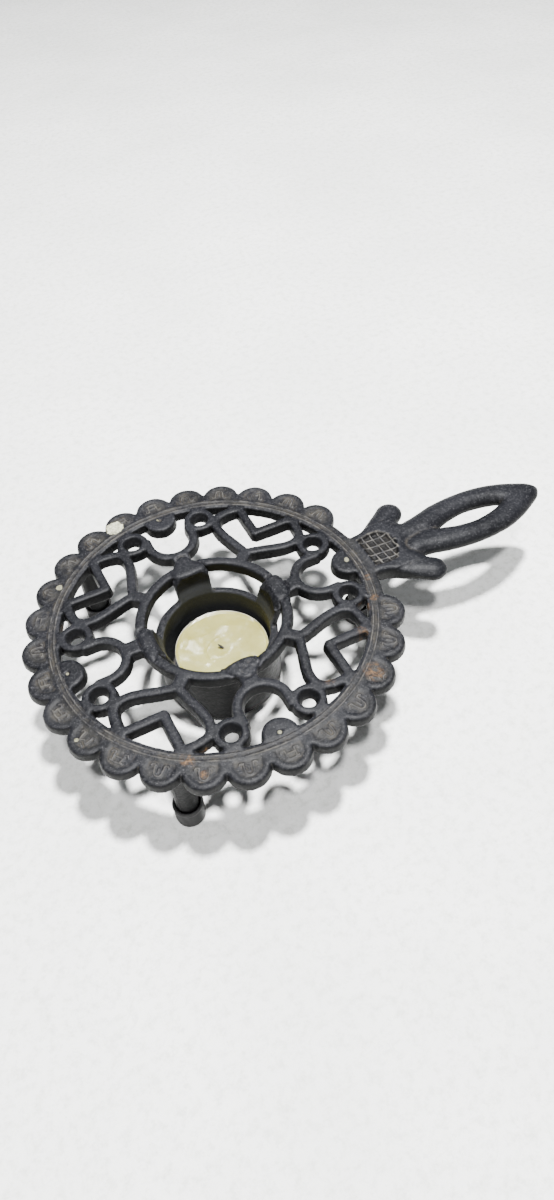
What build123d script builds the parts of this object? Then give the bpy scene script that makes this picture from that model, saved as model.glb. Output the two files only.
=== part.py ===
"""Cast-iron candle stand: a heart-patterned trivet plate with a long handle, three capped legs,
and a cup hung under its middle that holds a tealight.  Millimetres, floor at z = 0, cup axis at the
origin, handle along +X."""
from build123d import *
from math import cos, radians, sin
import os

# ---- driving dimensions ------------------------------------------------------------------------
PLATE_TOP = 40.0            # pot rest height above the floor
PLATE_THICK = 5.0
HANDLE_THICK = 7.5
HANDLE_EDGE = 2.0           # rounding of the handle's edges

LOBE_COUNT = 28             # scallops round a full turn; the handle takes three of the places
LOBE_RADIUS = 7.7
LOBE_CENTRE = 67.3          # lobe tips reach 75 mm
RIM_OUTER = 67.9
RIM_INNER = 60.9

TAB_CENTRE = 60.0           # half-round bulges on the rim's inner edge
TAB_RADIUS = 6.6
EYELET_CENTRE = 54.2
EYELET_SPREAD = 16.4        # degrees either side of each quarter
EYELET_RADIUS = 6.5
EYELET_MOUTH = 4.2
EYELET_THROAT = 3.0
EYELET_SINK = 3.0           # depth of the tapered mouth

STRAND = 3.6                # width of the heart strands
FORK_CENTRE = 46.6          # the fork between two eyelets
FORK_RADIUS = 9.7
FORK_STRAND = 3.5
STEM_WIDTH = 6.8
HEART_NECK_WIDTH = 5.0

RING_INNER = 27.15
RING_OUTER = 30.9

CUP_BOTTOM = 1.5
CUP_RIM = 28.0
CUP_INNER = 21.8
CUP_OUTER = 24.8
CUP_FLOOR = 3.0
STRAP_WIDTH = 15.0
PAD_WIDTH = 11.8
PAD_INNER = 24.4
PAD_THICK = 2.0

LEG_CIRCLE = 65.5
LEG_ANGLES = {"handle": 0.0, "left": 124.4, "right": -124.4}
LEG_RADIUS = 4.5
TENON_RADIUS = 2.6
TENON_LENGTH = 2.5
CAP_RADIUS = 5.9
CAP_HEIGHT = 10.5
CAP_SOLE = 1.5

CANDLE_RADIUS = 19.4
CANDLE_HEIGHT = 14.6
CANDLE_SHIFT = (0.9, -1.1)  # the loose candle sits a little off the cup's axis
CASE_WALL = 0.4
WAX_BELOW_RIM = 0.4
WICK_RADIUS = 0.7
WICK_ABOVE_WAX = 2.6
TAB_DISC_RADIUS = 6.5
TAB_DISC_THICK = 0.4
TAB_NECK_RADIUS = 1.3
TAB_NECK_HEIGHT = 3.0

# ---- derived -----------------------------------------------------------------------------------
PLATE_BOTTOM = PLATE_TOP - PLATE_THICK
QUARTERS = (0, 90, 180, 270)
PITCH = 360 / LOBE_COUNT
CANDLE_BASE = CUP_BOTTOM + CUP_FLOOR
CANDLE_TOP = CANDLE_BASE + CANDLE_HEIGHT
WAX_TOP = CANDLE_TOP - WAX_BELOW_RIM


def polar(radius, degrees_round):
    """Place something at a radius and an angle round the cup axis."""
    angle = radians(degrees_round)
    return Pos(radius * cos(angle), radius * sin(angle))


def tube(outer, inner, bottom, top):
    """An upright tube between two heights."""
    height = top - bottom
    return Pos(0, 0, bottom) * extrude(Circle(outer) - Circle(inner), height)


def rod(radius, bottom, top):
    """An upright round bar between two heights."""
    return Pos(0, 0, bottom) * extrude(Circle(radius), top - bottom)


# ---- trivet plate ------------------------------------------------------------------------------
def rim_sketch():
    """The scalloped band with its four inner tabs."""
    rim = Circle(RIM_OUTER)
    for place in range(LOBE_COUNT):
        if place not in (0, 1, LOBE_COUNT - 1):
            rim += polar(LOBE_CENTRE, place * PITCH) * Circle(LOBE_RADIUS)
    rim -= Circle(RIM_INNER)
    for quarter in QUARTERS:
        rim += polar(TAB_CENTRE, quarter) * Circle(TAB_RADIUS)
    return rim


def fork_sketch():
    """One stem and fork, drawn along +X: it joins the centre ring to a pair of eyelets."""
    arm_end = EYELET_CENTRE - 3
    bend = trace(CenterArc((FORK_CENTRE, 0), FORK_RADIUS, 90, 180), FORK_STRAND)
    fork = bend + Pos((RING_OUTER + FORK_CENTRE - FORK_RADIUS) / 2) * Rectangle(9, STEM_WIDTH)
    for side in (1, -1):
        arm = Line((FORK_CENTRE - 0.5, side * FORK_RADIUS), (arm_end, side * FORK_RADIUS))
        fork += trace(arm, FORK_STRAND)
        fork += polar(EYELET_CENTRE, side * EYELET_SPREAD) * Circle(EYELET_RADIUS)
    return fork


def heart_sketch():
    """One open heart, drawn along +X: its tip is on the centre ring and its lobes meet the rim."""
    neck = Pos((RING_OUTER + 35) / 2) * Rectangle(7, HEART_NECK_WIDTH)
    heart = neck
    for side in (1, -1):
        flank = Spline(
            (34.6, -0.6 * side), (39.0, 6.2 * side), (42.9, 13.4 * side), (46.3, 17.4 * side),
            (49.9, 18.8 * side), (53.6, 17.4 * side), (56.8, 14.4 * side), (60.5, 11.0 * side),
        )
        notch = Line((46.8, -0.7 * side), (60.5, 13.0 * side))
        heart += trace(flank, STRAND)
        heart += trace(notch, STRAND)
    return heart


def handle_body():
    """The flat handle: a neck with two side leaves and a long pointed loop."""
    neck = Line((60, 11.6), (69, 11.6))
    leaf_rise = Spline(neck @ 1, (78, 15.6), (86.5, 21.8), tangents=((1, 0), (0.8, 0.6)))
    leaf_tip = ThreePointArc(leaf_rise @ 1, (94.7, 20.9), (93.0, 13.4))
    leaf_under = Line(leaf_tip @ 1, (91.0, 11.9))
    crotch = ThreePointArc(leaf_under @ 1, (90.5, 10.4), (91.8, 9.5))
    loop_side = Spline(
        crotch @ 1, (103, 11.8), (120, 13.6), (137, 11.2), (149.6, 5.6),
        tangents=((1, 0.1), (0.87, -0.5)),
    )
    nose = ThreePointArc(loop_side @ 1, (153.6, 2.6), (155, 0))
    closing = [Line(nose @ 1, (60, 0)), Line((60, 0), neck @ 0)]
    half = make_face([neck, leaf_rise, leaf_tip, leaf_under, crotch, loop_side, nose, *closing])
    eye_side = ThreePointArc((103, 0), (120, 3.9), (137, 0))
    eye = make_face([eye_side, mirror(eye_side, about=Plane.XZ)])
    blank = extrude(half + mirror(half, about=Plane.XZ) - eye, HANDLE_THICK)
    rims = blank.edges().filter_by(Plane.XY).filter_by(lambda edge: edge.center().X > 61)
    return Pos(0, 0, PLATE_TOP - HANDLE_THICK) * fillet(rims, HANDLE_EDGE)


def frond_groove():
    """The shallow valley between the two fronds, from the neck to the loop's eye."""
    section = Plane.YZ * Polygon((-2.2, 0), (2.2, 0), (0, -1.6), align=None)
    return Pos(87, 0, PLATE_TOP) * extrude(section, 18, dir=(1, 0, 0))


def trivet_plate():
    """The whole plate is one casting: rim, hearts, forks, eyelets, centre ring and handle."""
    flat = rim_sketch()
    for quarter in QUARTERS:
        flat += Rot(0, 0, quarter) * fork_sketch()
        flat += Rot(0, 0, quarter + 45) * heart_sketch()
    flat += Circle(RING_OUTER)
    flat -= Circle(RING_INNER)
    plate = Pos(0, 0, PLATE_BOTTOM) * extrude(flat, PLATE_THICK)
    handle = handle_body() - frond_groove()
    handle -= rod(LEG_CIRCLE + LEG_RADIUS, 0, PLATE_BOTTOM)
    handle -= rod(RIM_INNER + 1, PLATE_BOTTOM, PLATE_TOP)
    plate += handle
    mouth = Cone(EYELET_THROAT, EYELET_MOUTH, EYELET_SINK)
    for quarter in QUARTERS:
        for side in (1, -1):
            spot = polar(EYELET_CENTRE, quarter + side * EYELET_SPREAD)
            plate -= spot * Pos(0, 0, PLATE_TOP - EYELET_SINK / 2) * mouth
            plate -= spot * rod(EYELET_THROAT, PLATE_BOTTOM - 1, PLATE_TOP - EYELET_SINK / 2)
        plate -= Rot(0, 0, quarter) * pad()
    for angle in LEG_ANGLES.values():
        plate -= polar(LEG_CIRCLE, angle) * rod(TENON_RADIUS, 0, PLATE_BOTTOM + TENON_LENGTH)
    return plate


# ---- candle cup --------------------------------------------------------------------------------
def pad():
    """The flat end of one strap, let into the top of the centre ring, drawn along +X."""
    block = Pos(RING_OUTER - 5, 0, PLATE_TOP - PAD_THICK / 2) * Box(10, PAD_WIDTH, PAD_THICK)
    return block & tube(RING_OUTER, PAD_INNER, PLATE_TOP - PAD_THICK, PLATE_TOP)


def strap():
    """One strap from the cup's rim up the inside of the centre ring, drawn along +X."""
    section = Plane.XZ * Polygon(
        (CUP_INNER, CUP_RIM - 1), (CUP_OUTER, CUP_RIM - 1), (CUP_OUTER, CUP_RIM),
        (RING_INNER, PLATE_BOTTOM), (RING_INNER, PLATE_TOP - PAD_THICK),
        (PAD_INNER, PLATE_TOP - PAD_THICK), (PAD_INNER - 0.4, PLATE_BOTTOM), (CUP_INNER, CUP_RIM),
        align=None,
    )
    ribbon = revolve(section, Axis.Z, 360)
    return ribbon & Pos(CUP_OUTER, 0, PLATE_TOP / 2) * Box(16, STRAP_WIDTH, PLATE_TOP)


def candle_cup():
    """The cup with its four straps, one casting hung in the centre ring."""
    cup = rod(CUP_OUTER, CUP_BOTTOM, CUP_RIM) - rod(CUP_INNER, CANDLE_BASE, CUP_RIM)
    cup = fillet(cup.edges().group_by(Axis.Z)[0], 2.0)
    for quarter in QUARTERS:
        cup += Rot(0, 0, quarter) * (strap() + pad())
    return cup


# ---- legs and caps -----------------------------------------------------------------------------
def leg(angle):
    """A round leg with a short tenon up into the plate."""
    post = rod(LEG_RADIUS, CAP_SOLE, PLATE_BOTTOM) + rod(
        TENON_RADIUS, PLATE_BOTTOM, PLATE_BOTTOM + TENON_LENGTH
    )
    return polar(LEG_CIRCLE, angle) * post


def leg_cap(angle):
    """A rubber cap pushed over the end of a leg."""
    cap = rod(CAP_RADIUS, 0, CAP_HEIGHT) - rod(LEG_RADIUS, CAP_SOLE, CAP_HEIGHT)
    cap = fillet(cap.edges().group_by(Axis.Z)[0], 1.0)
    return polar(LEG_CIRCLE, angle) * cap


# ---- tealight ----------------------------------------------------------------------------------
def at_candle(shape):
    return Pos(CANDLE_SHIFT[0], CANDLE_SHIFT[1]) * shape


def candle_case():
    """The thin metal cup of the tealight."""
    case = rod(CANDLE_RADIUS, CANDLE_BASE, CANDLE_TOP)
    case -= rod(CANDLE_RADIUS - CASE_WALL, CANDLE_BASE + CASE_WALL, CANDLE_TOP + 1)
    return at_candle(case)


def wick_tab():
    """The pressed metal foot that keeps the wick upright under the wax."""
    base = CANDLE_BASE + CASE_WALL
    foot = rod(TAB_DISC_RADIUS, base, base + TAB_DISC_THICK)
    foot += rod(TAB_NECK_RADIUS, base, base + TAB_NECK_HEIGHT)
    foot -= rod(WICK_RADIUS, base + TAB_DISC_THICK, WAX_TOP)
    return at_candle(foot)


def candle_wick():
    """The short upright wick."""
    base = CANDLE_BASE + CASE_WALL + TAB_DISC_THICK
    return at_candle(rod(WICK_RADIUS, base, WAX_TOP + WICK_ABOVE_WAX))


def candle_wax():
    """The wax filling, cast round the wick and its foot."""
    wax = at_candle(rod(CANDLE_RADIUS - CASE_WALL, CANDLE_BASE + CASE_WALL, WAX_TOP))
    return wax - wick_tab() - candle_wick()


# ---- write the pieces --------------------------------------------------------------------------
def main():
    os.makedirs("parts", exist_ok=True)
    pieces = {"trivet_plate": trivet_plate(), "candle_cup": candle_cup()}
    for name, angle in LEG_ANGLES.items():
        pieces[f"{name}_leg"] = leg(angle)
        pieces[f"{name}_leg_cap"] = leg_cap(angle)
    pieces["candle_case"] = candle_case()
    pieces["candle_wax"] = candle_wax()
    pieces["candle_wick"] = candle_wick()
    pieces["wick_tab"] = wick_tab()
    for name, shape in pieces.items():
        export_step(shape, f"parts/{name}.step")


main()
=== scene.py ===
"""Looks for the cast-iron tealight trivet: cast skin, ornament, dust, rust, caps, candle, light and camera."""
from math import cos, pi, radians, sin

import bpy
import numpy as np
from mathutils import Matrix, Vector
from mathutils.kdtree import KDTree


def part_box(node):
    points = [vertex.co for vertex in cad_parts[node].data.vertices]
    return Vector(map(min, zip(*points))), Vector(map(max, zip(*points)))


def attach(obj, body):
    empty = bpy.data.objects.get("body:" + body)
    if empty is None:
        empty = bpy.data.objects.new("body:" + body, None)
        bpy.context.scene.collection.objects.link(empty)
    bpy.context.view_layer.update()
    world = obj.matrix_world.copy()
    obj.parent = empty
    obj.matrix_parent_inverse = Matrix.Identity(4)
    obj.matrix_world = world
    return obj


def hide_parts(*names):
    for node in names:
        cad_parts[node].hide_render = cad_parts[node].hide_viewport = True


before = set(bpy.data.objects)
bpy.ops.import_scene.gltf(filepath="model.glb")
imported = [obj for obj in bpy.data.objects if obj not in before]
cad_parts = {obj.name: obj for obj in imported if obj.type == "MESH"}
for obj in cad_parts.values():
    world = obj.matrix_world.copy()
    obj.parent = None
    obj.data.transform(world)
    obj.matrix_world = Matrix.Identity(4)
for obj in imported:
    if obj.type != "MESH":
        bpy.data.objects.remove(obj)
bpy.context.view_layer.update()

MM = 0.001

# ---- sizes, in millimetres, taken from the frame where it has them -------------------------------
PLATE_LOW, PLATE_HIGH = (np.array(corner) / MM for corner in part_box("trivet_plate"))
CASE_LOW, CASE_HIGH = (np.array(corner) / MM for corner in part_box("candle_case"))
WAX_LOW, WAX_HIGH = (np.array(corner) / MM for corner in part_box("candle_wax"))
_, WICK_HIGH = (np.array(corner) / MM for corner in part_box("candle_wick"))
PLATE_TOP = PLATE_HIGH[2]
HANDLE_MID = (PLATE_LOW[2] + PLATE_HIGH[2]) / 2
HANDLE_HALF = (PLATE_HIGH[2] - PLATE_LOW[2]) / 2
HANDLE_START = 84.0        # where the oval section of the handle begins, along X
HANDLE_BAND = 5.0          # how far in from its outline the handle keeps curving up
HANDLE_EDGE = 0.9          # half the handle's thickness at its outline
CROWN_BAND = 1.5           # how far in from their edges the strands are rounded over
CROWN_DROP = 0.85          # how far that lowers the edges
CUP_INSIDE = 22.9          # everything nearer to the cup's axis is inside the cup
CANDLE_X = (CASE_LOW[0] + CASE_HIGH[0]) / 2
CANDLE_Y = (CASE_LOW[1] + CASE_HIGH[1]) / 2
WICK_FOOT = (CANDLE_X + 0.45, CANDLE_Y - 0.15)

LOBE_COUNT = 28
LOBE_PLACES = range(2, LOBE_COUNT - 1)
LOBE_MIDDLE = 67.5         # from the cup's axis to the middle of a lobe's sunk field
LOBE_RADIUS = 7.7
LOBES_START = 65.0         # the lobes' fields lie outside this radius
RIM_INNER = 60.9
BEADS = ((62.5, 0.3), (64.5, 0.34))    # radius and height of the two fine beads round the rim
TAB_DIMPLE = 59.7
QUARTERS = (0, 90, 180, 270)
PITCH = 360 / LOBE_COUNT
LEGS = ("handle_leg", "left_leg", "right_leg")
PLATE_VOXEL, FINE_PLATE_VOXEL = 0.5, 0.36
CUP_VOXEL, FINE_CUP_VOXEL = 0.42, 0.4


# ---- mesh helpers --------------------------------------------------------------------------------
def new_object(name, verts_mm, faces, smooth=True):
    """An object from vertices in millimetres."""
    mesh = bpy.data.meshes.new(name)
    mesh.from_pydata((np.asarray(verts_mm) * MM).tolist(), [], faces)
    mesh.validate()
    obj = bpy.data.objects.new(name, mesh)
    bpy.context.collection.objects.link(obj)
    if smooth:
        mesh.shade_smooth()
    return obj


def copy_of_node(node, name):
    """A separate copy of a CAD node's mesh, free to be changed."""
    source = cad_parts[node]
    mesh = source.data.copy()
    mesh.transform(source.matrix_world)
    mesh.materials.clear()
    obj = bpy.data.objects.new(name, mesh)
    bpy.context.collection.objects.link(obj)
    return obj


def points_of(obj):
    """The object's vertices in millimetres."""
    flat = np.empty(len(obj.data.vertices) * 3)
    obj.data.vertices.foreach_get("co", flat)
    return flat.reshape(-1, 3) / MM


def set_points(obj, points_mm):
    obj.data.vertices.foreach_set("co", (points_mm * MM).ravel())
    obj.data.update()


def normals_of(obj):
    flat = np.empty(len(obj.data.vertices) * 3)
    obj.data.vertex_normals.foreach_get("vector", flat)
    return flat.reshape(-1, 3)


def apply_modifiers(obj):
    """Bakes the object's modifiers into its mesh."""
    graph = bpy.context.evaluated_depsgraph_get()
    mesh = bpy.data.meshes.new_from_object(obj.evaluated_get(graph), depsgraph=graph)
    obj.modifiers.clear()
    old = obj.data
    obj.data = mesh
    bpy.data.meshes.remove(old)
    obj.data.shade_smooth()


def remesh(obj, voxel_mm):
    """Rebuilds the mesh as one even closed skin."""
    modifier = obj.modifiers.new("voxels", "REMESH")
    modifier.mode = "VOXEL"
    modifier.voxel_size = voxel_mm * MM
    apply_modifiers(obj)


def subdivide(obj, levels):
    modifier = obj.modifiers.new("subdivide", "SUBSURF")
    modifier.levels = modifier.render_levels = levels
    apply_modifiers(obj)


def relax(obj, rounds, factor=0.5, weights=None):
    """Rounds edges off by smoothing the mesh, everywhere or by a weight for each point."""
    modifier = obj.modifiers.new("relax", "SMOOTH")
    modifier.factor = factor
    modifier.iterations = rounds
    if weights is not None:
        group = obj.vertex_groups.new(name="relaxed")
        for i in np.nonzero(weights > 0.01)[0]:
            group.add([int(i)], float(weights[i]), "REPLACE")
        modifier.vertex_group = group.name
    apply_modifiers(obj)
    obj.vertex_groups.clear()


def join(name, objects):
    """Joins several objects into the first one."""
    bpy.ops.object.select_all(action="DESELECT")
    for obj in objects:
        obj.select_set(True)
    bpy.context.view_layer.objects.active = objects[0]
    bpy.ops.object.join()
    objects[0].name = name
    return objects[0]


def smooth_step(low, high, value):
    t = np.clip((value - low) / (high - low), 0, 1)
    return t * t * (3 - 2 * t)


def hashed(ix, iy, iz, seed):
    """A repeatable number from 0 to 1 for each lattice point."""
    n = (ix * 374761393 + iy * 668265263 + iz * 2147483647 + seed * 1274126177) & 0xFFFFFFFF
    n = ((n ^ (n >> 13)) * 1274126177) & 0xFFFFFFFF
    return ((n ^ (n >> 16)) & 0xFFFFFF) / 0xFFFFFF


def noise(points, size, seed):
    """Smooth value noise from -1 to 1, with bumps about size millimetres wide."""
    p = points / size
    cell = np.floor(p).astype(np.int64)
    f = p - cell
    f = f * f * (3 - 2 * f)
    total = np.zeros(len(points))
    for dx in (0, 1):
        for dy in (0, 1):
            for dz in (0, 1):
                weight = (
                    (f[:, 0] if dx else 1 - f[:, 0])
                    * (f[:, 1] if dy else 1 - f[:, 1])
                    * (f[:, 2] if dz else 1 - f[:, 2])
                )
                total += weight * hashed(cell[:, 0] + dx, cell[:, 1] + dy, cell[:, 2] + dz, seed)
    return total * 2 - 1


def lathe(name, profile, segments=128, centre=(0, 0)):
    """A closed solid of revolution from a closed (radius, height) outline, in millimetres."""
    verts, faces = [], []
    for i in range(segments):
        turn = 2 * pi * i / segments
        for radius, height in profile:
            verts.append((centre[0] + radius * cos(turn), centre[1] + radius * sin(turn), height))
    count = len(profile)
    for i in range(segments):
        for j in range(count):
            a = i * count + j
            b = ((i + 1) % segments) * count + j
            c = ((i + 1) % segments) * count + (j + 1) % count
            d = i * count + (j + 1) % count
            faces.append((a, b, c, d))
    obj = new_object(name, verts, faces)
    weld_axis(obj)
    return obj


def weld_axis(obj):
    """Merges the points that a lathe leaves on its axis."""
    modifier = obj.modifiers.new("weld", "WELD")
    modifier.merge_threshold = 0.004 * MM
    apply_modifiers(obj)


def store(obj, name, values):
    """Keeps a value from 0 to 1 for each point, for the materials to read."""
    layer = obj.data.attributes.new(name, "FLOAT", "POINT")
    layer.data.foreach_set("value", np.clip(values, 0, 1))


def mark_cavities(obj, rounds=14):
    """Stores how hollow or proud each point is, so that dust and wear can follow the shape."""
    before = points_of(obj)
    soft = obj.copy()
    soft.data = obj.data.copy()
    bpy.context.collection.objects.link(soft)
    relax(soft, rounds)
    after = points_of(soft)
    bpy.data.objects.remove(soft)
    hollow = ((after - before) * normals_of(obj)).sum(axis=1)
    store(obj, "hollow", hollow * 2.0 + 0.5)


# ---- trivet plate --------------------------------------------------------------------------------
def polar(radius, angle):
    return (radius * cos(radians(angle)), radius * sin(radians(angle)))


def away_from(points, centre):
    """How far each point is from an upright axis."""
    return np.hypot(points[:, 0] - centre[0], points[:, 1] - centre[1])


def outward(angle, points):
    """Turns (outward, sideways) points at an angle round the cup's axis into (x, y) points."""
    c, s = cos(radians(angle)), sin(radians(angle))
    return [(u * c - v * s, u * s + v * c) for u, v in points]


def rounded(corners, steps=6):
    """A smooth closed curve through corner points."""
    p = np.asarray(corners, float)
    before, after, later = np.roll(p, 1, axis=0), np.roll(p, -1, axis=0), np.roll(p, -2, axis=0)
    rows = []
    for i in range(len(p)):
        for t in np.arange(steps) / steps:
            rows.append(0.5 * (2 * p[i] + (after[i] - before[i]) * t
                               + (2 * before[i] - 5 * p[i] + 4 * after[i] - later[i]) * t * t
                               + (3 * p[i] - before[i] - 3 * after[i] + later[i]) * t ** 3))
    return np.array(rows)


def inside_by(xy, outline):
    """How far each point is inside a closed outline, negative outside it."""
    outline = np.asarray(outline, float)
    nearest = np.full(len(xy), 1e9)
    inside = np.zeros(len(xy), bool)
    for a, b in zip(outline, np.roll(outline, -1, axis=0)):
        along = b - a
        share = np.clip(((xy - a) @ along) / max(along @ along, 1e-9), 0, 1)
        nearest = np.minimum(nearest, np.linalg.norm(xy - a - share[:, None] * along, axis=1))
        crosses = (a[1] > xy[:, 1]) != (b[1] > xy[:, 1])
        rise = along[1] if along[1] else 1e-9
        inside ^= crosses & (xy[:, 0] < a[0] + along[0] * (xy[:, 1] - a[1]) / rise)
    return np.where(inside, nearest, -nearest)


def stretch(a, b, step=0.25):
    """Points along a straight line."""
    a, b = np.asarray(a, float), np.asarray(b, float)
    count = max(2, int(np.linalg.norm(b - a) / step))
    return [tuple(a + (b - a) * i / count) for i in range(count + 1)]


def trail(corners, step=0.25):
    """Points along a broken line."""
    rows = []
    for a, b in zip(corners, corners[1:]):
        rows += stretch(a, b, step)
    return rows


def eased(corners, step=0.4, window=9):
    """An open line through corner points with its corners eased."""
    rows = np.array(trail(corners, step))
    padded = np.pad(rows, ((window // 2, window // 2), (0, 0)), mode="edge")
    kernel = np.ones(window) / window
    return np.stack([np.convolve(padded[:, k], kernel, "valid") for k in (0, 1)], axis=1)


# The hatched panel at the handle's root: its outline, its ribs and the raised lines beside it.
PANEL = [(68.8, 8.3), (75, 9.3), (79.6, 9.0), (82.8, 5.2), (83.8, 0), (81.6, -5), (79.4, -8.4), (74, -8.9),
         (68.8, -8.0)]
PANEL_CROSS = (72.0, 75.7, 79.0, 82.2)
PANEL_ALONG = ((5.9, 5.6), (2.3, 1.4), (-1.9, -3.0), (-5.4, -6.9))
PANEL_BORDERS = (
    [(68.9, 8.1), (75, 9.0), (79.4, 8.7), (82.6, 5.0)],
    [(68.9, -7.9), (74, -8.7), (79.2, -8.1)],
)
RIB_HEIGHT, RIB_WIDTH = 1.15, 0.42

# The pads where the cup's straps are let into the centre ring: (outward, sideways) corners.
PADS = {
    0: [(25.6, -5.6), (25.0, -2), (25.2, 3), (25.9, 6.9), (28.6, 8.4), (31.4, 7.2), (32.5, 3.4), (32.6, -1),
        (31.4, -4.4), (28.4, -6.2)],
    90: [(24.6, -6.2), (23.9, -2.6), (23.8, 1.4), (24.5, 5.4), (26.8, 7.0), (29.6, 6.4), (32.0, 4.2),
         (34.6, 2.6), (36.0, 0), (34.4, -2.6), (31.8, -4.0), (29.6, -6.2), (26.8, -7.2)],
    180: [(25.2, -6), (24.6, -2), (24.8, 2.6), (25.5, 6.8), (27.4, 9.9), (29.6, 9.8), (30.6, 6.4),
          (31.0, 2), (31.0, -3), (29.6, -6.4), (27.2, -7.2)],
    270: [(26.6, -6.4), (25.2, -4.6), (24.3, -2.0), (24.0, 1.2), (24.6, 4.6), (26.2, 7.2), (28.6, 7.2),
          (30.8, 5.0), (33.2, 3.2), (34.2, 0.4), (33.0, -2.6), (30.8, -4.0), (29.0, -6.0)],
}
PAD_ROUGH = {0: 0.06, 90: 0.02, 180: 0.06, 270: 0.2}    # how lumpy each pad is


def pad_outline(quarter):
    return rounded(outward(quarter, PADS[quarter]))


def motif_lines(kind, size):
    """The raised ornament of one lobe as (outward, sideways) lines: a footed arch, frame or crown."""
    foot, top, half = 67.0, 67.0 + 3.4 * size, 1.75 * size
    lines = []
    for side in (1, -1):
        curl = [(foot + 0.5, side * (half + 1.5)), (foot - 0.1, side * (half + 1.2)), (foot, side * half)]
        lines.append(curl + [(foot + 1.4, side * half * 1.05), (top, side * half * 0.85)])
    if kind == "arch":
        bow = [(top + half * 0.75 * sin(pi * i / 6), half * 0.85 * cos(pi * i / 6)) for i in range(7)]
        lines.append(bow)
        lines.append([(foot + 1.3, 0), (top - 0.3, 0)])
    elif kind == "frame":
        lines.append([(top, -half - 0.6), (top + 0.3, 0), (top, half + 0.6)])
        lines.append([(foot + 1.6, -half), (foot + 1.6, half)])
    else:
        lines.append([(top, -half * 0.85), (top - 1.1, 0), (top, half * 0.85)])
        lines.append([(top + 1.3, -1.1), (top + 0.8, 0), (top + 1.3, 1.1)])
    return lines


def plate_lines():
    """The thin raised lines on the plate, as rows of x, y, height and half-width."""
    rows = []
    for radius, height in BEADS:
        ring = [polar(radius, i * 0.2) for i in range(1800)]
        rows += [(x, y, height, 0.36) for x, y in ring]
    kinds = ("arch", "frame", "arch", "crown")
    for place in LOBE_PLACES:
        draw = [float(hashed(place, k, 5, 11)) for k in range(4)]
        kind = kinds[int(draw[0] * 3.99)]
        for line in motif_lines(kind, 0.9 + 0.16 * draw[1]):
            path = outward(place * PITCH + 1.1 * (draw[2] - 0.5), trail(line))
            rows += [(x, y, 0.34 + 0.14 * draw[3], 0.36) for x, y in path]
    for x in PANEL_CROSS:
        rows += [(px, py, RIB_HEIGHT, RIB_WIDTH) for px, py in stretch((x - 0.5, 9.4), (x + 0.5, -9.4))]
    for start, end in PANEL_ALONG:
        rows += [(px, py, RIB_HEIGHT, RIB_WIDTH) for px, py in stretch((68.9, start), (84, end))]
    for border in PANEL_BORDERS:
        rows += [(x, y, 0.16, 0.4) for x, y in trail(border)]
    rows = np.array(rows)
    in_panel_box = (rows[:, 0] > 68.7) & (rows[:, 0] < 86) & (np.abs(rows[:, 1]) < 10)
    outside = in_panel_box & (inside_by(rows[:, :2], PANEL) < 0.0)
    return rows[~outside]


def search_tree(xy):
    tree = KDTree(len(xy))
    for i, (x, y) in enumerate(xy):
        tree.insert((x, y, 0), i)
    tree.balance()
    return tree


def lower_top(points, amount):
    """Moves points near the plate's top face down by an amount each, leaving the underside alone."""
    near_top = smooth_step(PLATE_TOP - 3.4, PLATE_TOP - 0.5, points[:, 2])
    points[:, 2] -= near_top * amount


def round_edges(points, normals):
    """Rounds the strands over, and gives the handle the oval section of a cast bar."""
    wall = (points[:, 2] > 36.5) & (points[:, 2] < 37.5) & (np.abs(normals[:, 2]) < 0.5)
    tree = search_tree(points[wall][:, :2])
    away = np.array([tree.find((x, y, 0))[2] for x, y in points[:, :2]])
    handle = smooth_step(HANDLE_START - 9, HANDLE_START + 2, points[:, 0])
    lean = 1 - np.minimum(away / CROWN_BAND, 1)
    fall = CROWN_DROP * (1 - np.sqrt(1 - lean ** 2))
    near_top = smooth_step(PLATE_TOP - 3.6, PLATE_TOP, points[:, 2])
    points[:, 2] -= (1 - handle) * near_top * fall
    lean = 1 - np.minimum(away / HANDLE_BAND, 1)
    limit = np.maximum(HANDLE_HALF * np.sqrt(1 - lean ** 2), HANDLE_EDGE)
    rise = points[:, 2] - HANDLE_MID
    oval = HANDLE_MID + np.clip(rise, -limit, limit)
    points[:, 2] = points[:, 2] * (1 - handle) + oval * handle


def flare(points, normals):
    """Draft: the walls lean out a little towards the underside."""
    side = normals.copy()
    side[:, 2] = 0
    low = 1 - smooth_step(PLATE_TOP - 5, PLATE_TOP - 0.8, points[:, 2])
    plain = 1 - smooth_step(RIM_INNER, RIM_INNER + 3, points[:, 0])
    points += side * (0.22 + 0.34 * low * plain)[:, None]


def inside_share(points, near, outline, low, high):
    """Goes from 0 outside a closed outline to 1 inside it, over the points marked as near it."""
    share = np.zeros(len(points))
    share[near] = smooth_step(low, high, inside_by(points[near][:, :2], outline))
    return share


def near_panel(points):
    return (points[:, 0] > 66) & (points[:, 0] < 87) & (np.abs(points[:, 1]) < 12)


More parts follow.
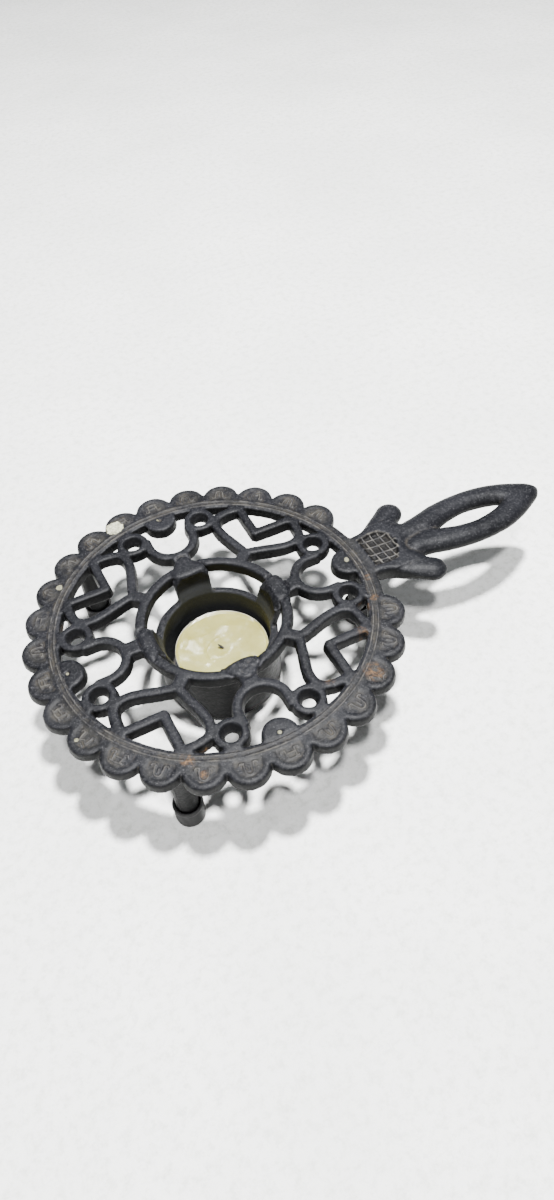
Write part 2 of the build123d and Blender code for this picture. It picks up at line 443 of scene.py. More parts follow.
def shape_plate_top(points):
    """Sinks the lobes' fields, the rim band, the tab dimples, the pad seats and the hatched panel."""
    radius = np.hypot(points[:, 0], points[:, 1])
    on_rim = smooth_step(RIM_INNER - 0.4, RIM_INNER + 0.9, radius)
    beyond_rim = smooth_step(67, 69, points[:, 0]) * (np.abs(points[:, 1]) < 13)
    lower_top(points, 0.42 * on_rim * (1 - beyond_rim))
    for place in LOBE_PLACES:
        away = away_from(points, polar(LOBE_MIDDLE, place * PITCH))
        field = 1 - smooth_step(LOBE_RADIUS - 2.9, LOBE_RADIUS - 1.9, away)
        lower_top(points, 0.3 * field * smooth_step(LOBES_START + 0.2, LOBES_START + 1.2, radius))
    for quarter in QUARTERS:
        away = away_from(points, polar(TAB_DIMPLE, quarter))
        lower_top(points, 0.75 * (1 - smooth_step(0.4, 1.5, away)))
        lower_top(points, 0.7 * inside_share(points, radius < 38, pad_outline(quarter), -0.6, 0.6))
    lower_top(points, 1.5 * inside_share(points, near_panel(points), PANEL, -0.2, 0.9))


# The line, the depth and the width of each hollow between the fronds.
FROND_GROOVES = (
    ([(92.5, -10.2), (89.0, -9.0), (86.4, -6.2), (86.0, -3.0), (88.2, -0.6), (94, 0.2), (103, 0)], 1.15, 1.9),
    ([(92.0, 9.8), (89.0, 9.0), (86.5, 9.6)], 0.45, 1.6),
)


def cut_frond_grooves(points):
    """The hollow that parts the lower frond from the upper one, and runs on to the eye."""
    for corners, depth, width in FROND_GROOVES:
        curve = eased(corners)
        near = (points[:, 0] > 82) & (points[:, 0] < 108) & (np.abs(points[:, 1]) < 13)
        chosen = np.nonzero(near)[0]
        tree = search_tree(curve)
        away = np.array([tree.find((x, y, 0))[2] for x, y in points[chosen][:, :2]])
        amount = np.zeros(len(points))
        amount[chosen] = depth * np.exp(-((away / width) ** 2))
        lower_top(points, amount)


def raise_lines(points):
    """Presses the ornament's thin lines up out of the top face, and says how close each point is to one."""
    lines = plate_lines()
    tree = search_tree(lines[:, :2])
    closeness = np.zeros(len(points))
    fade = 0.75 + 0.5 * noise(points, 3.1, 61)
    for i in np.nonzero(points[:, 2] > PLATE_TOP - 2.2)[0]:
        _, row, away = tree.find((points[i, 0], points[i, 1], 0))
        height, width = lines[row, 2], lines[row, 3]
        if away < 3 * width:
            bell = np.exp(-((away / width) ** 2)) * min(1.0, max(0.25, fade[i]))
            points[i, 2] += height * bell
            closeness[i] = bell
    return closeness


def field_share(points):
    """1 in the lobes' sunk fields, and less on the rim band, where dust has settled."""
    radius = np.hypot(points[:, 0], points[:, 1])
    share = 0.5 * smooth_step(RIM_INNER + 0.6, RIM_INNER + 1.6, radius) * (points[:, 0] < 68)
    for place in LOBE_PLACES:
        away = away_from(points, polar(LOBE_MIDDLE, place * PITCH))
        on_lobe = radius > LOBES_START
        field = 1 - smooth_step(LOBE_RADIUS - 3.4, LOBE_RADIUS - 1.6, away)
        rim = smooth_step(LOBE_RADIUS - 2.4, LOBE_RADIUS - 1.0, away) * (away < LOBE_RADIUS + 1)
        share = np.maximum(share, field * on_lobe) * (1 - 0.8 * rim * on_lobe)
    return share


def panel_share(points):
    """1 in the hatched panel, whose cells the material darkens between the ribs."""
    return inside_share(points, near_panel(points), PANEL, 0.0, 0.6)


def cast_skin(points, normals, grain=0.05, swell=0.1, seed=3):
    """The uneven skin of a sand casting: fine grain over slow swells."""
    rough = noise(points, 0.9, seed) * 0.6 + noise(points, 1.9, seed + 1)
    slow = noise(points, 6.0, seed + 2)
    return points + normals * (grain * rough + swell * slow)[:, None]


def prism(name, outline, low, high):
    """An upright solid over a closed outline."""
    count = len(outline)
    verts = [(x, y, z) for z in (low, high) for x, y in outline]
    faces = [tuple(reversed(range(count))), tuple(range(count, 2 * count))]
    faces += [(i, (i + 1) % count, count + (i + 1) % count, count + i) for i in range(count)]
    return new_object(name, verts, faces)


def disc(centre, radius, sides=40):
    turns = [2 * pi * i / sides for i in range(sides)]
    return [(centre[0] + radius * cos(turn), centre[1] + radius * sin(turn)) for turn in turns]


def fillers():
    """Solids that close the hollows under the pads, the legs' sockets and the straight frond groove."""
    solids = []
    for quarter in QUARTERS:
        block = outward(quarter, [(27.3, -6.4), (30.7, -6.4), (30.7, 6.4), (27.3, 6.4)])
        solids.append(prism("seat", block, PLATE_TOP - 2.6, PLATE_TOP))
    for leg in LEGS:
        solids.append(prism("socket", disc(leg_centre(leg), 3.0), PLATE_TOP - 5, PLATE_TOP - 2))
    groove = [(84.5, -2.6), (103, -2.6), (103, 2.6), (84.5, 2.6)]
    solids.append(prism("groove", groove, PLATE_TOP - 2.2, PLATE_TOP))
    return solids


def build_plate():
    """The trivet plate with its cast detail, in place of the plain CAD plate."""
    plate = join("trivet_casting", [copy_of_node("trivet_plate", "trivet_casting")] + fillers())
    remesh(plate, PLATE_VOXEL)
    points = points_of(plate)
    round_edges(points, normals_of(plate))
    shape_plate_top(points)
    cut_frond_grooves(points)
    set_points(plate, points)
    relax(plate, 3)
    points, normals = points_of(plate), normals_of(plate)
    flare(points, normals)
    points[:, :2] += 0.3 * np.stack([noise(points, 16, 21), noise(points, 16, 22)], axis=1)
    set_points(plate, points)
    remesh(plate, FINE_PLATE_VOXEL)
    relax(plate, 8, weights=smooth_step(HANDLE_START, HANDLE_START + 5, points_of(plate)[:, 0]))
    relax(plate, 1)
    points = points_of(plate)
    closeness = raise_lines(points)
    set_points(plate, points)
    points = cast_skin(points, normals_of(plate))
    points[:, 2] = np.minimum(points[:, 2], PLATE_TOP)
    set_points(plate, points)
    mark_cavities(plate)
    store(plate, "line", closeness)
    store(plate, "field", field_share(points))
    store(plate, "panel", panel_share(points))
    return plate


# ---- candle cup, legs and caps -------------------------------------------------------------------
def build_cup():
    """The cup and its four straps, whose ends are hammered and melted over the centre ring."""
    solids = [copy_of_node("candle_cup", "cup_casting")]
    for quarter in QUARTERS:
        solids.append(prism("pad", pad_outline(quarter), PLATE_TOP - 1.7, PLATE_TOP + 0.1))
    cup = join("cup_casting", solids)
    remesh(cup, CUP_VOXEL)
    relax(cup, 2)
    points = points_of(cup)
    points += normals_of(cup) * 0.1
    dome_pads(points)
    set_points(cup, points)
    remesh(cup, FINE_CUP_VOXEL)
    relax(cup, 2)
    points, normals = points_of(cup), normals_of(cup)
    high = smooth_step(PLATE_TOP - 3, PLATE_TOP - 1, points[:, 2])
    points += normals * (0.2 * noise(points, 9, 42) * (1 - high))[:, None]
    points = cast_skin(points, normals, 0.05, 0.06, 31)
    points[:, 2] = np.minimum(points[:, 2], PLATE_TOP)
    set_points(cup, points)
    mark_cavities(cup)
    return cup


def dome_pads(points):
    """Presses the straps' ends into low uneven domes, and lets the straps' corners beside them fall away."""
    turn = np.degrees(np.arctan2(points[:, 1], points[:, 0]))
    for quarter in QUARTERS:
        off = np.abs((turn - quarter + 180) % 360 - 180)
        mine = np.nonzero((points[:, 2] > PLATE_TOP - 4) & (off < 45))[0]
        inside = inside_by(points[mine][:, :2], pad_outline(quarter))
        inside += 0.2 * noise(points[mine], 2.6, 43)
        lean = 1 - np.clip(inside / 2.4, 0, 1)
        shoulder = 2.3 * smooth_step(0.0, 2.2, -inside)
        dome = PLATE_TOP - 1.15 + 1.05 * np.sqrt(1 - lean ** 2) - shoulder
        rough = PAD_ROUGH[quarter] * noise(points[mine], 1.3, 44) + 0.12 * noise(points[mine], 3.5, 45)
        dome += rough * (inside > 0)
        points[mine, 2] = np.minimum(points[mine, 2], dome)


def leg_centre(leg):
    low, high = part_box(leg)
    return ((low.x + high.x) / 2 / MM, (low.y + high.y) / 2 / MM)


def build_leg(leg):
    """A cast post, a little thicker at its root, with the seam of its two-part mould."""
    profile = [(0, 1.6), (3.7, 1.6), (4.15, 2.1), (4.25, 3)]
    profile += [(4.25 + 0.25 * i / 12, 3 + 2.5 * i) for i in range(1, 13)]
    profile += [(4.85, 34.2), (5.5, 35.0), (5.5, 35.6), (0, 35.6)]
    post = lathe(f"{leg}_casting", profile, 72)
    points, normals = points_of(post), normals_of(post)
    turn = np.degrees(np.arctan2(points[:, 1], points[:, 0]))
    seam = np.exp(-((((turn - 35) % 180 + 90) % 180 - 90) / 4.0) ** 2)
    points += normals * (0.16 * seam * (points[:, 2] < 34))[:, None]
    points[:, :2] += leg_centre(leg)
    set_points(post, points)
    subdivide(post, 2)
    points = points_of(post)
    set_points(post, cast_skin(points, normals_of(post), 0.04, 0.07, 51))
    mark_cavities(post, 6)
    return post


def build_cap(leg):
    """A moulded rubber ferrule with a rounded sole and a bead round its mouth."""
    profile = [(0, 0.02), (4.2, 0.02), (5.1, 0.15), (5.6, 0.6), (5.8, 1.3), (5.82, 4), (5.78, 8.1),
               (5.72, 8.5), (5.78, 8.8), (5.88, 9.1), (5.9, 9.7), (5.8, 10.2), (5.5, 10.48), (5.1, 10.48),
               (4.75, 10.2), (4.55, 9.6), (4.5, 5), (4.5, 1.5), (0, 1.5)]
    cap = lathe(f"{leg}_rubber", profile, 72, leg_centre(leg))
    subdivide(cap, 1)
    points = points_of(cap)
    points += normals_of(cap) * (0.05 * noise(points, 4.0, 71))[:, None]
    points[:, 2] = np.maximum(points[:, 2], 0.01)
    set_points(cap, points)
    return cap


# ---- tealight ------------------------------------------------------------------------------------
def build_case():
    """The thin pressed cup of the tealight, with a narrow rolled rim and a ring pressed in its base."""
    outer, top, base = CASE_HIGH[0] - CANDLE_X, CASE_HIGH[2], CASE_LOW[2]
    outside = [(0, base + 0.35), (6, base + 0.3), (6.5, base), (outer - 1.4, base), (outer - 0.7, base + 0.25),
               (outer - 0.4, base + 1.0), (outer - 0.22, base + 6), (outer - 0.06, top - 1.2)]
    rim = [(outer, top - 0.35), (outer - 0.03, top - 0.08), (outer - 0.15, top), (outer - 0.27, top - 0.1),
           (outer - 0.3, top - 0.5)]
    inside = [(outer - 0.34, top - 1.4), (outer - 0.5, base + 6), (outer - 0.66, base + 1.1),
              (outer - 1.0, base + 0.6), (outer - 1.6, base + 0.34), (6.4, base + 0.34), (6.0, base + 0.62),
              (0, base + 0.66)]
    profile = outside + rim + inside
    case = lathe("tealight_case", profile, 144, (CANDLE_X, CANDLE_Y))
    subdivide(case, 1)
    return case


def build_wax():
    """Once-melted wax: a climb at its edge, a dip at the wick, an old tide line and slow ripples."""
    edge, top, base = CASE_HIGH[0] - CANDLE_X - 0.32, WAX_HIGH[2], WAX_LOW[2] + 0.4
    closing = edge - 0.9 * (1 - np.linspace(0, 1, 12)[1:]) ** 1.6
    radii = np.concatenate([np.linspace(0, edge - 0.9, 62), closing])
    profile = [(r, top - 0.1) for r in radii]
    profile += [(edge - 0.05, top - 1.5), (edge - 0.3, base + 6), (edge - 1.4, base), (0, base)]
    wax = lathe("wax_fill", list(reversed(profile)), 200, (CANDLE_X, CANDLE_Y))
    points = points_of(wax)
    x, y = points[:, 0] - CANDLE_X, points[:, 1] - CANDLE_Y
    r, turn = np.hypot(x, y), np.arctan2(y, x)
    surface = points[:, 2] > top - 0.4
    climb = 0.36 * smooth_step(edge - 1.1, edge, r)
    wick_x, wick_y = WICK_FOOT[0] - CANDLE_X, WICK_FOOT[1] - CANDLE_Y
    dip = -0.3 * np.exp(-(np.hypot(x - wick_x, y - wick_y) / 2.4) ** 2)
    slow = 0.14 * noise(points, 7.5, 81) + 0.045 * noise(points, 2.6, 82)
    tide_radius = 6.6 + 0.5 * np.sin(2 * turn + 1)
    tide = -0.13 * np.exp(-((r - tide_radius) / 0.4) ** 2) * smooth_step(0.0, 0.7, np.cos(turn - 2.4))
    chip = -0.5 * np.exp(-((turn - 0.35) / 0.09) ** 2) * smooth_step(edge - 2.2, edge, r)
    chip += -0.35 * np.exp(-((turn - 2.0) / 0.16) ** 2) * smooth_step(edge - 1.6, edge, r)
    points[:, 2] += surface * (climb + dip + slow + tide + chip)
    set_points(wax, points)
    return wax


def build_wick():
    """A short twisted cotton wick, burnt where it stands out of the wax and leaning over."""
    verts, faces = [], []
    low, high = WAX_HIGH[2] - 3.0, WICK_HIGH[2] - 1.1
    steps, sides = 44, 18
    for i in range(steps + 1):
        t = i / steps
        z = low + (high - low) * t
        over = max(0.0, (z - WAX_HIGH[2] + 0.6) / (high - WAX_HIGH[2] + 0.6))
        x, y = WICK_FOOT[0] - 1.5 * over ** 1.3, WICK_FOOT[1] + 1.2 * over ** 1.5
        thick = (0.52 + 0.05 * sin(9 * t)) * (1 - 0.35 * over ** 3) * (0.35 if i == steps else 1)
        for j in range(sides):
            turn = 2 * pi * j / sides
            radius = thick * (1 + 0.16 * abs(cos(1.5 * turn - 5.0 * t * pi)))
            verts.append((x + radius * cos(turn), y + radius * sin(turn), z - 0.3 * over * cos(turn)))
    for i in range(steps):
        for j in range(sides):
            a, b = i * sides + j, i * sides + (j + 1) % sides
            faces.append((a, b, b + sides, a + sides))
    faces.append(tuple(reversed(range(sides))))
    faces.append(tuple(steps * sides + j for j in range(sides)))
    return new_object("cotton_wick", verts, faces)


# ---- materials -----------------------------------------------------------------------------------
class Nodes:
    """A short way to write a node material."""

    def __init__(self, name):
        self.material = bpy.data.materials.new(name)
        self.material.use_nodes = True
        self.tree = self.material.node_tree
        self.shader = self.tree.nodes["Principled BSDF"]

    def add(self, kind, inputs=(), **settings):
        node = self.tree.nodes.new(kind)
        for key, value in settings.items():
            setattr(node, key, value)
        for socket, value in dict(inputs).items():
            self.put(node.inputs[socket], value)
        return node

    def put(self, socket, value):
        if isinstance(value, bpy.types.NodeSocket):
            self.tree.links.new(value, socket)
        else:
            socket.default_value = value

    def where(self):
        node = self.tree.nodes.get("where")
        if node is None:
            node = self.add("ShaderNodeTexCoord")
            node.name = "where"
        return node.outputs["Object"]

    def noise(self, scale, detail=4.0, rough=0.55, offset=(0, 0, 0)):
        shift = self.add("ShaderNodeVectorMath", {0: self.where(), 1: offset}, operation="ADD")
        node = self.add("ShaderNodeTexNoise", {"Vector": shift.outputs[0], "Scale": scale})
        node.inputs["Detail"].default_value = detail
        node.inputs["Roughness"].default_value = rough
        return node.outputs["Fac"]

    def ramp(self, value, low, high, start=0.0, end=1.0):
        """Goes straight from start to end as value goes from low to high, and stays there outside them."""
        node = self.add("ShaderNodeMapRange", {"Value": value, "From Min": low, "From Max": high})
        node.inputs["To Min"].default_value = start
        node.inputs["To Max"].default_value = end
        return node.outputs["Result"]

    def maths(self, operation, a, b, clamp=True):
        node = self.add("ShaderNodeMath", {0: a, 1: b}, operation=operation)
        node.use_clamp = clamp
        return node.outputs[0]

    def product(self, *values):
        total = values[0]
        for value in values[1:]:
            total = self.maths("MULTIPLY", total, value)
        return total

    def mix(self, share, a, b):
        node = self.add("ShaderNodeMix", data_type="RGBA")
        self.put(node.inputs["Factor"], share)
        self.put(node.inputs["A"], a)
        self.put(node.inputs["B"], b)
        return node.outputs["Result"]

    def attribute(self, name):
        return self.add("ShaderNodeAttribute", attribute_name=name).outputs["Fac"]

    def facing_up(self):
        normal = self.add("ShaderNodeNewGeometry").outputs["Normal"]
        return self.add("ShaderNodeSeparateXYZ", {0: normal}).outputs["Z"]

    def in_cup(self):
        """1 inside the cup's wall, 0 outside it."""
        flat = self.add("ShaderNodeVectorMath", {0: self.where(), 1: (1, 1, 0)}, operation="MULTIPLY")
        radius = self.add("ShaderNodeVectorMath", {0: flat.outputs[0]}, operation="LENGTH")
        return self.ramp(radius.outputs["Value"], CUP_INSIDE * MM, (CUP_INSIDE + 0.6) * MM, 1, 0)

    def near(self, centre, radius, ragged=0.4, soft=0.25, scale=420):
        """1 close to a point given in millimetres, 0 away from it, with a ragged edge."""
        spot = tuple(c * MM for c in centre)
        away = self.add("ShaderNodeVectorMath", {0: self.where(), 1: spot}, operation="DISTANCE")
        size = self.maths("DIVIDE", away.outputs["Value"], radius * MM, clamp=False)
        wobble = self.noise(scale, 3.0)
        edge = self.add("ShaderNodeMath", {0: wobble, 1: ragged, 2: size}, operation="MULTIPLY_ADD")
        return self.ramp(edge.outputs[0], 1 + ragged / 2, 1 + ragged / 2 - soft)

    def bump(self, height, strength, distance_mm, under=None):
        node = self.add("ShaderNodeBump", {"Height": height})
        node.inputs["Strength"].default_value = strength
        node.inputs["Distance"].default_value = distance_mm * MM
        if under is not None:
            self.put(node.inputs["Normal"], under)
        return node.outputs["Normal"]


# Where rust shows: a point and a radius.
RUST_SPOTS = (((42, -53, 39.5), 4.6), ((26, -49, 38), 3.0), ((47, -35, 38), 3.2), ((54, -24, 39), 3.0),
              ((-30, -62.5, 39.5), 2.0), ((-33, -55, 39.5), 3.0), ((-54, 24, 37), 2.4), ((-26, -52, 37), 2.2),
              ((60, -22, 39), 2.2), ((63, -12, 38), 2.6))
# Where old wax has dried: a point, a radius and how pale it is.
FLAKE_SPOTS = (((-19, 65.3, 39.6), 4.0, 1.0), ((-50.3, 43.6, 39.6), 1.5, 0.35), ((60, 0.6, 39.2), 1.2, 0.3),
               ((-65, -29, 39.4), 0.8, 0.3), ((-1, 60.4, 39.2), 0.8, 0.2), ((-59.7, 0, 39.2), 0.8, 0.25),
               ((0, -59.7, 39.2), 0.9, 0.3))


# Colours of the iron and of what lies on it.
# Separate wall and top colours: painted shade on the walls, painted light on the tops, which are bluer and
# reach paler.
SHADED_WALL_DARK, SHADED_WALL_PALE = (0.0032, 0.0033, 0.0035, 1), (0.0063, 0.0064, 0.0068, 1)
# Inside the cup: painted fill light, a paler colour where little light reaches.
CUP_PAINTED_FILL_LIGHT = (0.0215, 0.0225, 0.0235, 1)
LIT_TOP_DARK, LIT_TOP_PALE = (0.0025, 0.0027, 0.0037, 1), (0.0074, 0.0077, 0.0096, 1)
# Pale grain on the tops: real grain, made paler on up-facing faces only as painted light.
GRAIN_AND_TOP_LIGHT = (0.034, 0.0338, 0.0372, 1)
# Bright specks on the tops: a painted glint.
PAINTED_GLINT = (0.062, 0.0615, 0.0645, 1)
SETTLED_DIRT = (0.036, 0.0345, 0.030, 1)
HOLLOW_DUST = (0.085, 0.071, 0.049, 1)
WORN_EDGE = (0.085, 0.084, 0.09, 1)
# Near black in the hatched panel's cells between the ribs.
PANEL_CELL_DARK = (0.003, 0.003, 0.003, 1)
CHALK = (0.117, 0.108, 0.09, 1)
RUST_DARK, RUST_PALE = (0.055, 0.029, 0.014, 1), (0.155, 0.087, 0.04, 1)
FLAKE_DARK, FLAKE_PALE = (0.055, 0.052, 0.03, 1), (0.38, 0.375, 0.27, 1)


def iron_material():
    """Black sand-cast iron: painted shade on the walls, painted light and glints on the tops, painted fill
    light inside the cup, dust in hollows, worn edges, rust and dried wax.
    """
    m = Nodes("cast_iron_aged")
    hollow, line, field, panel = (m.attribute(name) for name in ("hollow", "line", "field", "panel"))
    grain = m.noise(900, 3.0, 0.6)
    speck = m.noise(2300, 2.0, 0.6, (3, 1, 2))
    cloud = m.ramp(m.noise(42, 5.0), 0.35, 0.68)
    upward = m.ramp(m.facing_up(), 0.3, 0.95)
    walls = m.mix(cloud, SHADED_WALL_DARK, SHADED_WALL_PALE)
    # Paler walls inside the cup: painted fill light.
    walls = m.mix(m.in_cup(), walls, CUP_PAINTED_FILL_LIGHT)
    tops = m.mix(cloud, LIT_TOP_DARK, LIT_TOP_PALE)
    # Walls and tops mixed by which way the face points: painted shade on the walls, painted light on the tops.
    base = m.mix(upward, walls, tops)
    # Paler grain on up-facing faces only: real grain, lifted as painted light on the tops.
    base = m.mix(m.product(m.ramp(grain, 0.52, 0.72), 0.42, upward), base, GRAIN_AND_TOP_LIGHT)
    # Bright specks on up-facing faces: a painted glint.
    painted_glint_share = m.ramp(m.noise(1500, 3.0, 0.6, (2, 2, 7)), 0.6, 0.7)
    base = m.mix(m.product(painted_glint_share, 0.5, upward), base, PAINTED_GLINT)
    patchy = m.ramp(m.noise(150, 4.0, 0.6, (5, 5, 5)), 0.36, 0.66)
    settled = m.product(field, m.ramp(m.noise(210, 5.0, 0.65, (6, 2, 9)), 0.4, 0.64), upward)
    base = m.mix(m.product(settled, 0.34), base, SETTLED_DIRT)
    dust = m.product(m.ramp(hollow, 0.53, 0.76), patchy, upward)
    base = m.mix(m.product(dust, 0.55), base, HOLLOW_DUST)
    wear = m.product(m.ramp(hollow, 0.42, 0.2), m.ramp(m.noise(260, 4.0, 0.65, (9, 2, 4)), 0.42, 0.72))
    base = m.mix(m.product(wear, 0.5), base, WORN_EDGE)
    chalk = m.product(m.ramp(line, 0.25, 0.85), m.ramp(m.noise(330, 4.0, 0.7, (2, 6, 4)), 0.36, 0.58), upward)
    # Near black in the panel's cells between the ribs.
    pits = m.product(panel, m.ramp(line, 0.5, 0.15), 0.85)
    base = m.mix(pits, base, PANEL_CELL_DARK)
    base = m.mix(m.product(chalk, m.ramp(panel, 0, 1, 0.4, 0.7)), base, CHALK)
    rust = 0.0
    for spot, size in RUST_SPOTS:
        rust = m.maths("MAXIMUM", rust, m.near(spot, size, 0.9, 0.7, 300))
    rust = m.product(rust, m.ramp(m.noise(520, 4.0, 0.7, (7, 7, 1)), 0.42, 0.62))
    rust_cloud = m.ramp(m.noise(800, 3.0, 0.6, (1, 8, 3)), 0.35, 0.65)
    base = m.mix(m.product(rust, 0.8), base, m.mix(rust_cloud, RUST_DARK, RUST_PALE))
    flake, paleness = 0.0, 0.0
    for spot, size, pale in FLAKE_SPOTS:
        share = m.near(spot, size, 0.95, 0.12, 430)
        flake = m.maths("MAXIMUM", flake, share)
        paleness = m.maths("MAXIMUM", paleness, m.product(share, pale))
    flake = m.product(flake, upward)
    crumb = m.product(paleness, m.ramp(m.noise(1100, 4.0, 0.7, (1, 4, 2)), 0.34, 0.56, 0.25, 1))
    base = m.mix(flake, base, m.mix(crumb, FLAKE_DARK, FLAKE_PALE))
    m.put(m.shader.inputs["Base Color"], base)
    matt = m.maths("MAXIMUM", m.maths("MAXIMUM", dust, rust), m.maths("MAXIMUM", chalk, flake))
    rough = m.maths("ADD", m.ramp(grain, 0.3, 0.7, 0.4, 0.58), m.product(matt, 0.3))
    m.put(m.shader.inputs["Roughness"], rough)
    m.shader.inputs["Specular IOR Level"].default_value = 0.09
    height = m.maths("ADD", m.product(grain, 0.5), m.product(flake, 0.4))
    coarse = m.bump(height, 0.7, 0.34)
    m.put(m.shader.inputs["Normal"], m.bump(speck, 0.4, 0.09, coarse))
    return m.material


def rubber_material():
    """Moulded black rubber, greyed with dust and scuffed."""
    m = Nodes("black_rubber")
    scuff = m.ramp(m.noise(180, 4.0, 0.65), 0.5, 0.72)
    base = m.mix(m.noise(60), (0.005, 0.005, 0.0054, 1), (0.011, 0.011, 0.0118, 1))
    m.put(m.shader.inputs["Base Color"], m.mix(m.product(scuff, 0.4), base, (0.034, 0.033, 0.031, 1)))
    m.put(m.shader.inputs["Roughness"], m.ramp(scuff, 0, 1, 0.55, 0.8))
    m.shader.inputs["Specular IOR Level"].default_value = 0.35
    m.put(m.shader.inputs["Normal"], m.bump(m.noise(1500, 2.0), 0.25, 0.06))
    return m.material


def foil_material():
    """Thin pressed aluminium with drawing marks and smears of wax."""
    m = Nodes("pressed_aluminium")
    smear = m.ramp(m.noise(130, 4.0, 0.6), 0.45, 0.62)
    m.put(m.shader.inputs["Base Color"], m.mix(smear, (0.55, 0.55, 0.54, 1), (0.42, 0.40, 0.32, 1)))
    m.put(m.shader.inputs["Metallic"], m.ramp(smear, 0, 1, 1.0, 0.35))
    m.put(m.shader.inputs["Roughness"], m.ramp(smear, 0, 1, 0.3, 0.55))
    m.put(m.shader.inputs["Normal"], m.bump(m.noise(420, 3.0), 0.3, 0.1))
    return m.material


def steel_material():
    """Tin-plated steel of the wick's foot."""
    m = Nodes("tinned_steel")
    stain = m.ramp(m.noise(500, 4.0), 0.4, 0.7)
    m.put(m.shader.inputs["Base Color"], m.mix(stain, (0.42, 0.42, 0.42, 1), (0.25, 0.23, 0.2, 1)))
    m.shader.inputs["Metallic"].default_value = 1.0
    m.put(m.shader.inputs["Roughness"], m.ramp(stain, 0, 1, 0.3, 0.5))
    m.put(m.shader.inputs["Normal"], m.bump(m.noise(2600, 2.0), 0.2, 0.04))
    return m.material


def wax_material():
    """Ivory wax, remelted and cooled: cloudy patches, fine scratches, a glossy skin and soot at the wick."""
    m = Nodes("ivory_wax")
    cloudy = m.ramp(m.noise(95, 5.0, 0.6), 0.34, 0.66)
    base = m.mix(cloudy, (0.183, 0.165, 0.036, 1), (0.243, 0.228, 0.066, 1))
    pale = m.ramp(m.noise(240, 3.0, 0.6, (4, 4, 4)), 0.55, 0.7)
    base = m.mix(m.product(pale, 0.5), base, (0.27, 0.262, 0.13, 1))
    foot = (WICK_FOOT[0] + 0.4, WICK_FOOT[1], WAX_HIGH[2] - 0.4)
    base = m.mix(m.product(m.near(foot, 1.7, 0.6, 0.7, 700), 0.45), base, (0.16, 0.13, 0.07, 1))
    m.put(m.shader.inputs["Base Color"], base)
    m.shader.inputs["Subsurface Weight"].default_value = 0.35
    m.shader.inputs["Subsurface Radius"].default_value = (1.0, 0.75, 0.4)
    m.shader.inputs["Subsurface Scale"].default_value = 1.6 * MM
    m.put(m.shader.inputs["Roughness"], m.ramp(m.noise(300, 4.0, 0.6, (8, 1, 1)), 0.3, 0.7, 0.3, 0.5))
    m.shader.inputs["Specular IOR Level"].default_value = 0.3
    m.shader.inputs["Coat Weight"].default_value = 0.3
    m.shader.inputs["Coat Roughness"].default_value = 0.13
    ripple = m.bump(m.noise(210, 4.0, 0.5), 0.32, 0.4)
    m.put(m.shader.inputs["Normal"], m.bump(m.noise(1300, 3.0), 0.2, 0.06, ripple))
    return m.material


def wick_material():
    """Charred cotton over waxed cotton."""
    m = Nodes("charred_cotton")
    height = m.add("ShaderNodeSeparateXYZ", {0: m.where()}).outputs["Z"]
    above_wax = m.ramp(height, (WAX_HIGH[2] - 0.1) * MM, (WAX_HIGH[2] + 0.4) * MM)
    burnt = m.maths("ADD", above_wax, m.ramp(m.noise(1500), 0.45, 0.7, 0, 0.6))
    m.put(m.shader.inputs["Base Color"], m.mix(burnt, (0.10, 0.085, 0.05, 1), (0.006, 0.0055, 0.005, 1)))
    m.shader.inputs["Roughness"].default_value = 0.8
    m.put(m.shader.inputs["Normal"], m.bump(m.noise(3200, 3.0), 0.6, 0.08))
    return m.material


def wear_material(obj, material):
    """Makes a material the only one on an object."""
    obj.data.materials.clear()
    obj.data.materials.append(material)


# ---- camera, floor and light ---------------------------------------------------------------------
LENS = 24.645
CAMERA_PLACE = (-53.667, -198.620, 289.637)
CAMERA_AHEAD = (0.24251, 0.59371, -0.76727)
CAMERA_RIGHT = (0.89833, -0.43605, -0.05347)


def add_camera():
    """A lens close above the near rim, looking down and across the plate, rolled a little."""
    data = bpy.data.cameras.new("camera")
    data.sensor_width = 36
    data.lens = LENS
    data.clip_start = 0.01
    data.clip_end = 20
    camera = bpy.data.objects.new("camera", data)
    bpy.context.collection.objects.link(camera)
    ahead = Vector(CAMERA_AHEAD).normalized()
    right = Vector(CAMERA_RIGHT).normalized()
    up = right.cross(ahead).normalized()
    turn = Matrix((right, up, -ahead)).transposed()
    camera.matrix_world = Matrix.Translation(Vector(CAMERA_PLACE) * MM) @ turn.to_4x4()
    bpy.context.scene.camera = camera


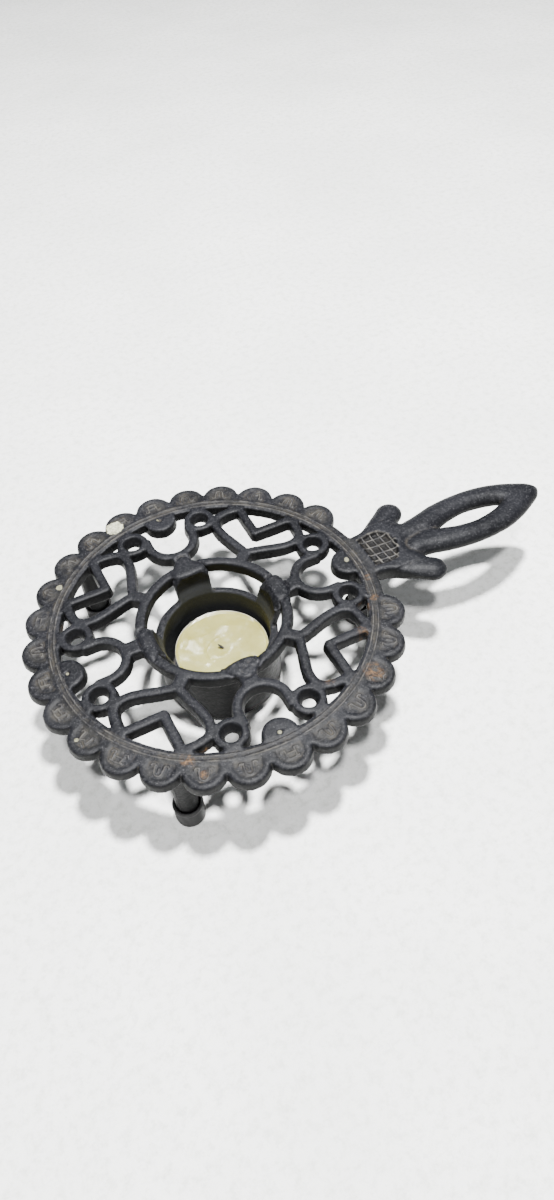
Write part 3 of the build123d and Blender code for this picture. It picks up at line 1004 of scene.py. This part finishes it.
def add_floor():
    """A table under pale cloth, with faint flecks and folds."""
    size = 6.0
    mesh = bpy.data.meshes.new("floor")
    corners = [(-size, -size, 0), (size, -size, 0), (size, size, 0), (-size, size, 0)]
    mesh.from_pydata(corners, [], [(0, 1, 2, 3)])
    floor = bpy.data.objects.new("floor", mesh)
    bpy.context.collection.objects.link(floor)
    m = Nodes("pale_table")
    cloud = m.ramp(m.noise(9, 3.0), 0.3, 0.7)
    plain = m.mix(cloud, (0.69, 0.697, 0.68, 1), (0.81, 0.81, 0.795, 1))
    fleck = m.ramp(m.noise(240, 6.0, 0.8, (2, 3, 0)), 0.47, 0.66)
    m.put(m.shader.inputs["Base Color"], m.mix(m.product(fleck, 0.75), plain, (0.50, 0.51, 0.475, 1)))
    m.shader.inputs["Roughness"].default_value = 0.7
    creases = m.bump(m.noise(30, 5.0, 0.6), 0.6, 2.5)
    m.put(m.shader.inputs["Normal"], m.bump(m.noise(700, 3.0), 0.12, 0.1, creases))
    wear_material(floor, m.material)


def add_area_light(name, place, aim, size, watts, colour=(1, 1, 1)):
    data = bpy.data.lights.new(name, "AREA")
    data.shape = "DISK"
    data.size = size
    data.energy = watts
    data.color = colour
    light = bpy.data.objects.new(name, data)
    light.location = place
    bpy.context.collection.objects.link(light)
    light.rotation_euler = (Vector(aim) - Vector(place)).to_track_quat("-Z", "Y").to_euler()


def add_light():
    """Two lamps above that cast the two sets of shadows, a far window and dim room light."""
    world = bpy.data.worlds.new("room")
    world.use_nodes = True
    background = world.node_tree.nodes["Background"]
    background.inputs["Color"].default_value = (0.96, 0.98, 1.0, 1)
    background.inputs["Strength"].default_value = 0.2
    bpy.context.scene.world = world
    middle = (0.03, 0, 0.03)
    add_area_light("ceiling", (0.17, 0.09, 1.3), middle, 0.12, 87.0)
    add_area_light("ceiling_near", (-0.16, -0.46, 1.3), middle, 0.12, 23.0)
    add_area_light("window", (0.23, 1.035, 1.32), middle, 0.07, 4.0, (0.95, 0.98, 1.0))


# ---- build ---------------------------------------------------------------------------------------
def put_in(piece, node, body, material):
    """Gives a piece its material and lets it stand for a CAD node."""
    wear_material(piece, material)
    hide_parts(node)
    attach(piece, body)


def main():
    add_camera()
    add_floor()
    add_light()
    iron, rubber = iron_material(), rubber_material()
    put_in(build_plate(), "trivet_plate", "stand", iron)
    put_in(build_cup(), "candle_cup", "stand", iron)
    for leg in LEGS:
        put_in(build_leg(leg), leg, "stand", iron)
        put_in(build_cap(leg), f"{leg}_cap", "stand", rubber)
    put_in(build_case(), "candle_case", "tealight", foil_material())
    put_in(build_wax(), "candle_wax", "tealight", wax_material())
    put_in(build_wick(), "candle_wick", "tealight", wick_material())
    wear_material(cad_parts["wick_tab"], steel_material())


main()
